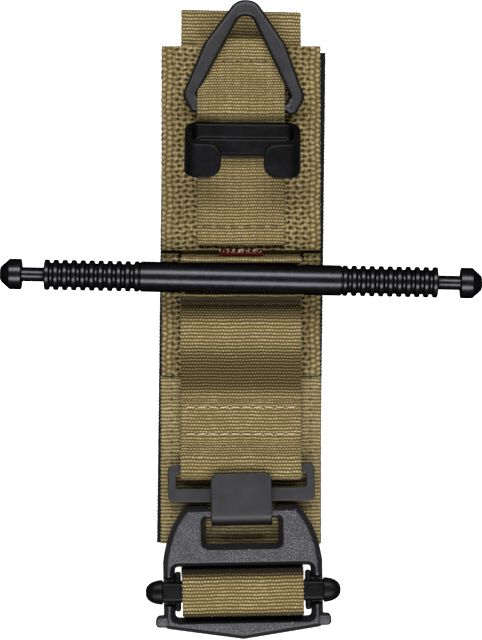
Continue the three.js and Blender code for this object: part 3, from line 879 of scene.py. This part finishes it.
def windlass_strap():
    """The strap inside the windlass."""
    reach = WINDLASS["radius"] - 0.25
    inside = strap("windlass_strap_webbing", [[-reach, 0], [reach, 0]],
                   placing=placed(0, WINDLASS["y"], WINDLASS["z"], WINDLASS["turn"]))
    finished(inside, "windlass_strap", "windlass", strap_cloth)


def tension_loop():
    """The strap's end, sewn into a loop round the hook plate."""
    under = PANEL_Z + LAYER + HALF
    turn = HOOK["loop"] + HALF
    fold = HOOK["y"] - turn
    crest = under + 2 * turn
    loop = strap("tension_loop_webbing", [
        [TENSION_END, under],
        [fold, under, turn - 0.01],
        [fold, crest, turn - 0.01],
        [-43.2, crest, 2],
        [-38.6, SEWN_Z, 2],
        [TENSION_END, SEWN_Z],
    ], fine=[(20, 200)], faces=FRONT)
    finished(loop, "tension_loop", "base", strap_cloth)


def buckle_straps():
    """Up behind the buckle, over its slider and back. What leads from the base to the buckle is in short
    pieces of its own, from the base to the hook and from the hook to the buckle.
    """
    over = SLIDER["z"] + SLIDER["thick"] / 2 + 0.6 + HALF
    tail = 2 * LAYER + HALF
    rear_places = (-71.0, -73.2, -75.4)  # where the strap passes from base to hook, and on to buckle
    tail_places = (-75.8, -81.0, -88.0)
    # painted light on top of the strap over the slider, painted shadow on its steep sides down into the
    # window
    turn = strap("buckle_strap_webbing", [
        [rear_places[-1], REAR_Z],
        [-76.9, REAR_Z, 1.0],
        [-79.4, over, 3.2],
        [-91.7, over, 2.2],
        [-92.0, tail, 1.6],
        [tail_places[-1], tail],
    ], placing=HOOK_TURN, faces=BACK, hump=over)
    finished(turn, "buckle_strap", "buckle", strap_cloth)
    for name, z, places in (("rear", REAR_Z, rear_places), ("tail", tail, tail_places)):
        for bodies, start, end in zip((("base", "hook"), ("hook", "buckle")), places, places[1:]):
            piece = strap(f"{name}_strap_to_{bodies[1]}", [[start, z], [end, z]], placing=HOOK_TURN)
            finished(piece, None, None, strap_cloth)
            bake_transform(piece)


def stitch_row(name, node, pitch, length, material, height=0.28):
    """A row of thread dashes that dip into the webbing at both ends."""
    first, last = low(node), high(node)
    y, top = (first.y + last.y) / 2, first.z
    sides, steps, radius = 8, 9, 0.24
    shape = bmesh.new()
    count = round((last.x - first.x) / pitch)
    for k in range(count):
        middle = first.x + (k + 0.5) * (last.x - first.x) / count
        slant = 0.12 * math.sin(k * 2.4)
        rings = []
        for t in np.linspace(-1, 1, steps).tolist():
            z = top - 0.15 + height * (1 - t ** 4) - 0.35 * t ** 8
            centre = Vector((middle + t * length / 2, y + slant * t, z))
            size = radius * (1 - 0.45 * t ** 6)
            rings.append([shape.verts.new(centre + size * Vector((0, math.cos(a), 0.8 * math.sin(a))))
                          for a in np.linspace(0, 2 * PI, sides, endpoint=False).tolist()])
        for before, after in zip(rings, rings[1:]):
            for i in range(sides):
                j = (i + 1) % sides
                shape.faces.new((before[i], after[i], after[j], before[j]))
        shape.faces.new(rings[0])
        shape.faces.new(rings[-1][::-1])
    bmesh.ops.recalc_face_normals(shape, faces=shape.faces)
    row = from_bmesh(name, shape)
    row.data.shade_smooth()
    finished(row, node, "base", material)


def stitching():
    light = thread_finish("light_thread", colour(150, 134, 96), colour(196, 180, 140))
    plain = thread_finish("plain_thread", colour(70, 60, 36), colour(126, 111, 76))
    for end in ("upper", "lower"):
        stitch_row(f"tension_thread_{end}", f"tension_stitches_{end}", STITCH_PITCH["tension"], 2.7, light)
    for end in ("top", "bottom"):
        pitch = STITCH_PITCH[f"strip_{end}"]
        stitch_row(f"strip_thread_{end}", f"strip_{end}_stitches", pitch, 2.6, plain, height=0.1)
    stitch_row("tail_hem_thread", "tail_hem_stitches", STITCH_PITCH["tail_hem"], 2.7, plain)


def label_weave(u, v):
    return plain_weave(u, v, 0.3, 0.3)


def label():
    """A plain woven tab, creased and frayed, that stands in the seam against the strap."""
    first, last = low("label_tab"), high("label_tab")
    z = first.z + 0.1
    height = 1.2

    def creases(x, y):
        return 0.2 * np.cos(x * 1.1) + 0.12 * np.cos(x * 2.9 + y * 2)

    corners = [[SEAM + 0.7, z], [SEAM - 0.2, z + 0.1, 0.4], [SEAM - 1.35, z + height]]
    tab = webbing("label_tab_cloth", corners, last.x - first.x, 0.45, label_weave, 0.06, (0.15, 0.15),
                  drop=creases)
    finish = Finish("label_cloth", roughness=0.9, specular=0.1)
    u, v = finish.across_and_along()
    weave = label_weave(u, v)
    frayed = clamp((finish.noise(1.1, 3.0) - 0.5) * 9) * clamp((1.5 - v) * 2)
    # darker in the weave's pits as painted shade
    red = finish.mix(weave, colour(26, 5, 5), colour(88, 13, 11))
    material = finish.finish(finish.mix(frayed, red, colour(158, 150, 130)), finish.bump(weave, 0.05))
    finished(tab, "label_tab", "base", material)


# ---------- Hard parts ----------

def ribbed_grip(outer):
    """The profile of one grip's ribs, from the given end inwards. Both ribs and grooves are round."""
    W = WINDLASS
    fillet = 0.55
    side = W["rib_radius"] - fillet
    points = []
    for i in range(W["ribs"]):
        start = outer - i * W["pitch"]
        for t in np.linspace(0, PI, 9):
            points.append((start - W["rib"] / 2 * (1 - math.cos(t)), side + fillet * math.sin(t) ** 0.6))
        if i < W["ribs"] - 1:
            start -= W["rib"]
            for t in np.linspace(0, PI, 7)[1:-1]:
                across = (W["pitch"] - W["rib"]) / 2 * (1 - math.cos(t))
                points.append((start - across, side - (side - W["groove"]) * math.sin(t) ** 0.7))
    return points


def windlass():
    """A turned bar: a coned knob, a neck and a ribbed grip at each end, and a slot through its middle."""
    W = WINDLASS
    crest, waist, radius = W["rib_radius"], W["neck_radius"], W["radius"]
    tip = W["length"] / 2
    knob = tip - W["cone"]
    neck = knob - W["knob"]
    grip = neck - W["neck"]
    rim = 0.35
    half = [(tip, 0), (tip, W["tip"] - 0.5), (tip - 0.15, W["tip"]), (tip - 0.5, W["tip"] + 0.45),
            (knob + 0.3, crest - 0.35), (knob, crest - 0.08), (knob - 0.3, crest),
            (neck + rim, crest), (neck + 0.08, crest - 0.1), (neck, crest - rim),
            (neck, waist + 0.4), (neck - 0.12, waist + 0.12), (neck - 0.4, waist),
            (grip + 0.4, waist), (grip + 0.12, waist + 0.12), (grip, waist + 0.4),
            *ribbed_grip(grip)]
    end = half[-1][0]
    slot = W["slot_width"] / 2
    half += [(end - 0.1, radius - 0.5), (end - 0.35, radius - 0.1), (end - 0.7, radius), (slot + 1, radius)]
    bar = turned_bar("windlass_bar", [*[(-x, r) for x, r in half], *reversed(half)], 96)
    rise = W["slot_height"] / 2
    opening = rounded(rectangle(-slot, slot, -rise, rise, rise - 0.05))
    reach = radius + 1
    cut(bar, plate("cutter", [(opening, [(0, -reach), (0, reach)])], Matrix.Rotation(PI / 2, 4, "X")))
    bar.data.transform(placed(0, W["y"], W["z"], W["turn"]))
    bar.data.shade_smooth()
    bar.data.set_sharp_from_angle(angle=math.radians(40))
    finished(bar, "windlass", "windlass", anodised_finish())


def rounding(z0, z1, back, front):
    """A profile with a rounded edge at the back and the front."""
    turns = np.linspace(0, PI / 2, 5)
    lower = [(back * (1 - math.sin(t)), z0 + back * (1 - math.cos(t))) for t in turns]
    upper = [(front * (1 - math.cos(t)), z1 - front * (1 - math.sin(t))) for t in turns]
    return lower + upper


def locking_ring(material):
    """A flat ring with a three-sided opening. The middle of its lower side is a round bar."""
    right = [(16.3, -2.2, 2.6), (19.3, 3.2, 2.9), (12.8, 19.6, 5), (3.0, 33.3, 5.2)]
    opening = [(15.0, 2.8, 0.8), (1.9, 28.2, 2.3)]
    half = RING["thick"] / 2
    profile = rounding(-half, half, 0.7, half)
    outer = rounded(mirrored(right))
    inner = rounded(mirrored(opening))[::-1]
    ring = plate("locking_ring_body", [(outer, profile), (inner, profile)])
    ring.data.transform(placed(tilt=RING["tilt"]))
    bar_half = 14.1
    cut(ring, block((-bar_half, bar_half), (-3.2, 3.9), (-3, 3)))
    with_added(ring, round_bar(bar_half + 0.5, RING["bar"]))
    ring.data.transform(placed(RING["x"], RING["y"], RING["z"], RING["turn"]))
    softened(ring, 0.22, 6)
    finished(ring, "locking_ring", "ring", material)


def windlass_clip(material):
    """The CAD clip, with a lip at the lower end of its plate."""
    clip = copy_of("windlass_clip", "windlass_clip_body")
    front = STRIP_Z + CLIP["bar"] + CLIP["strap_slot"] + CLIP["plate"]
    half = CLIP["lip_half"]
    outline = rounded(rectangle(-half, half, -CLIP["length"] / 2, -0.3, 0.6))
    lip = plate("lip", [(outline, rounding(front - 1, front + 0.9, 0.1, 0.5))],
                placed(CLIP["x"], CLIP["y"], 0, CLIP["turn"]))
    softened(with_added(clip, lip), 0.24, 5)
    finished(clip, "windlass_clip", "base", material)


def hook_plate(material):
    """The CAD plate, with its edges tumbled."""
    hook = softened(copy_of("hook_plate", "hook_plate_body"), 0.24, 4)
    finished(hook, "hook_plate", "hook", material)


def buckle_outline():
    """Round the frame: a peaked lower edge, upright sides and shoulders that curve in to the top."""
    B = BUCKLE
    start, pull, end = (np.array(place) for place in (
        (B["half"], B["shoulder"]), B["pull"], (B["top_half"], B["top"])))
    shoulder = [tuple((1 - t) ** 2 * start + 2 * t * (1 - t) * pull + t ** 2 * end)
                for t in np.linspace(0, 1, 13)[:-1]]
    right = [(B["half"], B["cheek_end"] - 0.2, 1.8), *shoulder, (B["top_half"], B["top"], 1.8)]
    return rounded([(0, B["apex"], 3), *mirrored(right)])


def buckle_ears():
    """The stubs that stick out of the frame's sides below the slider."""
    B = BUCKLE
    inner = B["half"] - 1.2
    outline = rounded(rectangle(-B["ear_half"], B["ear_half"], B["cheek_end"] + 0.4, B["ear_top"], 1.3))
    ears = plate("ears", [(outline, rounding(B["back"], B["front"] - 0.4, 0.6, 0.9))])
    middle = block((-inner, inner), (B["apex"], B["ear_top"] + 1), (B["back"] - 1, B["front"] + 1))
    return cut(ears, middle)


def buckle_frame(material):
    """A frame with a bar for the hook, a slot below it, a window for the strap and the slider's notches."""
    B = BUCKLE
    back, front = B["back"], B["front"]
    outer = [(0.6, back), (0.18, back + 0.18), (0, back + 0.6), (0, front - 3.6), (0.4, front - 2.4),
             (0.95, front - 1.0), (1.4, front - 0.25), (1.8, front)]
    bevelled = [(0.3, back), (0, back + 0.3), (0, front - 4), (1.1, front - 0.7), (1.5, front)]
    drafted = [(-1.0, back), (-1.2, back + 0.4), (-1.1, front - 3), (0, front - 0.7), (0.15, front - 0.2),
               (0.4, front)]
    slot = rectangle(-B["slot_half"], B["slot_half"], B["slot_end"], B["slot_top"], 0.8)
    window = rectangle(-B["window_half"], B["window_half"], B["window_end"], B["window_top"], 2.3)
    body = plate("buckle_frame_body", [(buckle_outline(), outer), (rounded(slot)[::-1], bevelled),
                                       (rounded(window)[::-1], drafted)])
    recess = (-B["recess"], B["recess"])
    cut(body, block(recess, (B["slot_top"] - 0.4, B["top"] + 1), (back - 1, front + 1)))
    notch = SLIDER["length"] / 2 + 1.3
    notch_z = SLIDER["z"] - SLIDER["thick"] / 2 - GAP
    across = (-B["half"] - 1, B["half"] + 1)
    cut(body, block(across, (SLIDER["y"] - notch, SLIDER["y"] + notch), (notch_z, front + 1)))
    bar = round_bar(B["recess"] + 0.6, B["bar"], placed(0, HOOK["bend_y"], front - B["bar"]))
    with_added(body, bar, buckle_ears())
    body.data.transform(HOOK_TURN)
    softened(body, 0.25, 2)
    finished(body, "buckle_frame", "buckle", material)


def slider_knob(sign):
    """A thumb knob at one end of the slider, like half a pebble."""
    S = SLIDER
    reach = S["knob_half"] - S["half"] - 0.4
    radius = S["knob_length"] / 2
    angles = np.linspace(0, PI / 2, 14)[:-1]
    profile = [(0, 0), *[(reach * math.sin(a), radius * math.cos(a) ** 0.8) for a in angles], (reach, 0)]
    knob = turned_bar("knob", profile, 40)
    flatten = Matrix.Diagonal((sign, 1, S["knob_thick"] / S["knob_length"], 1))
    knob.data.transform(placed(sign * (S["half"] + 0.4)) @ flatten)
    if sign < 0:
        knob.data.flip_normals()
    return knob


def slider_bar(material):
    """A rounded bar with a cheek on each side of the strap and a thumb knob at each end."""
    S = SLIDER
    half = S["thick"] / 2
    outline = rounded(rectangle(-S["half"] - 1, S["half"] + 1, -S["length"] / 2, S["length"] / 2, 1.4))
    bar = plate("slider_bar_body", [(outline, rounding(-half, half, 1.2, 1.2))])
    cheek = rounded(rectangle(*S["cheek"], -S["cheek_half"], S["cheek_half"], 0.8))
    for turn in (180, 0):
        with_added(bar, plate("cheek", [(cheek, rounding(-2.2, 0.8, 0.5, 0.8))], placed(turn=turn)))
    for sign in (-1, 1):
        with_added(bar, slider_knob(sign))
    bar.data.transform(HOOK_TURN @ placed(0, S["y"], S["z"]))
    softened(bar, 0.22, 3)
    finished(bar, "slider_bar", "slider", material)


def hard_parts():
    dark = colour(7, 7, 8)
    # each finish's third colour is the painted shade on its sides
    black = moulded("black_plastic", dark, colour(44, 44, 49), dark, 0.34, 0.006, 0.1)
    ring = moulded("ring_plastic", colour(26, 26, 29), colour(60, 60, 65), dark, 0.42, 0.012, 0.34)
    grey = moulded("grey_plastic", colour(40, 39, 43), colour(108, 107, 113), colour(24, 24, 27), 0.5, 0.04,
                   0.36, 3.0)
    steel = moulded("coated_steel", colour(24, 24, 27), colour(56, 56, 62), dark, 0.46, 0.01, 0.36)
    plain = moulded("stiffener_plastic", dark, colour(22, 22, 24), dark, 0.5, 0.01)
    windlass()
    locking_ring(ring)
    windlass_clip(black)
    slider_bar(black)
    buckle_frame(grey)
    hook_plate(steel)
    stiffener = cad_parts["stiffener_plate"]
    stiffener.data.materials.clear()
    stiffener.data.materials.append(plain)


# ---------- Studio ----------

def white_floor():
    """A floor that shows white by itself and casts no light on the object."""
    reach = 2000
    corners = [(-reach, -reach, 0), (reach, -reach, 0), (reach, reach, 0), (-reach, reach, 0)]
    ground = make_object("floor", corners, [(0, 1, 2, 3)], placed(z=-0.05))
    finish = Finish("floor_white", roughness=0.9)
    finish.shader.inputs["Emission Color"].default_value = (1, 1, 1, 1)
    finish.shader.inputs["Emission Strength"].default_value = 0.75
    ground.data.materials.append(finish.finish((0.85, 0.85, 0.85, 1)))
    ground.visible_diffuse = False
    ground.visible_glossy = False


def soft_box(name, side):
    """A long light above one end of the object, leaning towards its middle."""
    light = bpy.data.lights.new(f"softbox_{name}", "AREA")
    light.shape = "RECTANGLE"
    light.size = 1.0
    light.size_y = 0.34
    light.energy = 9.2
    box = bpy.data.objects.new(light.name, light)
    lean = math.radians(35)
    away = 0.9
    box.location = (0, side * away * math.sin(lean), away * math.cos(lean))
    box.rotation_euler = (-side * lean, 0, 0)
    box.visible_camera = False
    bpy.context.collection.objects.link(box)


def studio():
    """A white floor, a soft box above each end, faint light all round and a camera straight above."""
    white_floor()
    soft_box("near", -1)
    soft_box("far", 1)

    scene = bpy.context.scene
    scene.world = bpy.data.worlds.new("studio")
    scene.world.use_nodes = True
    background = scene.world.node_tree.nodes["Background"]
    background.inputs["Color"].default_value = (1, 1, 1, 1)
    background.inputs["Strength"].default_value = 0.13
    scene.view_settings.view_transform = "Standard"

    lens = bpy.data.cameras.new("camera")
    lens.lens = CAMERA["lens"]
    lens.clip_start = 0.01
    camera = bpy.data.objects.new("camera", lens)
    camera.location = (0, 0, CAMERA["height"])
    bpy.context.collection.objects.link(camera)
    scene.camera = camera


base_panels()
retaining_strip()
rear_strap()
folded_tail()
lead_straps()
slack_straps()
windlass_strap()
tension_loop()
buckle_straps()
stitching()
label()
hard_parts()
studio()
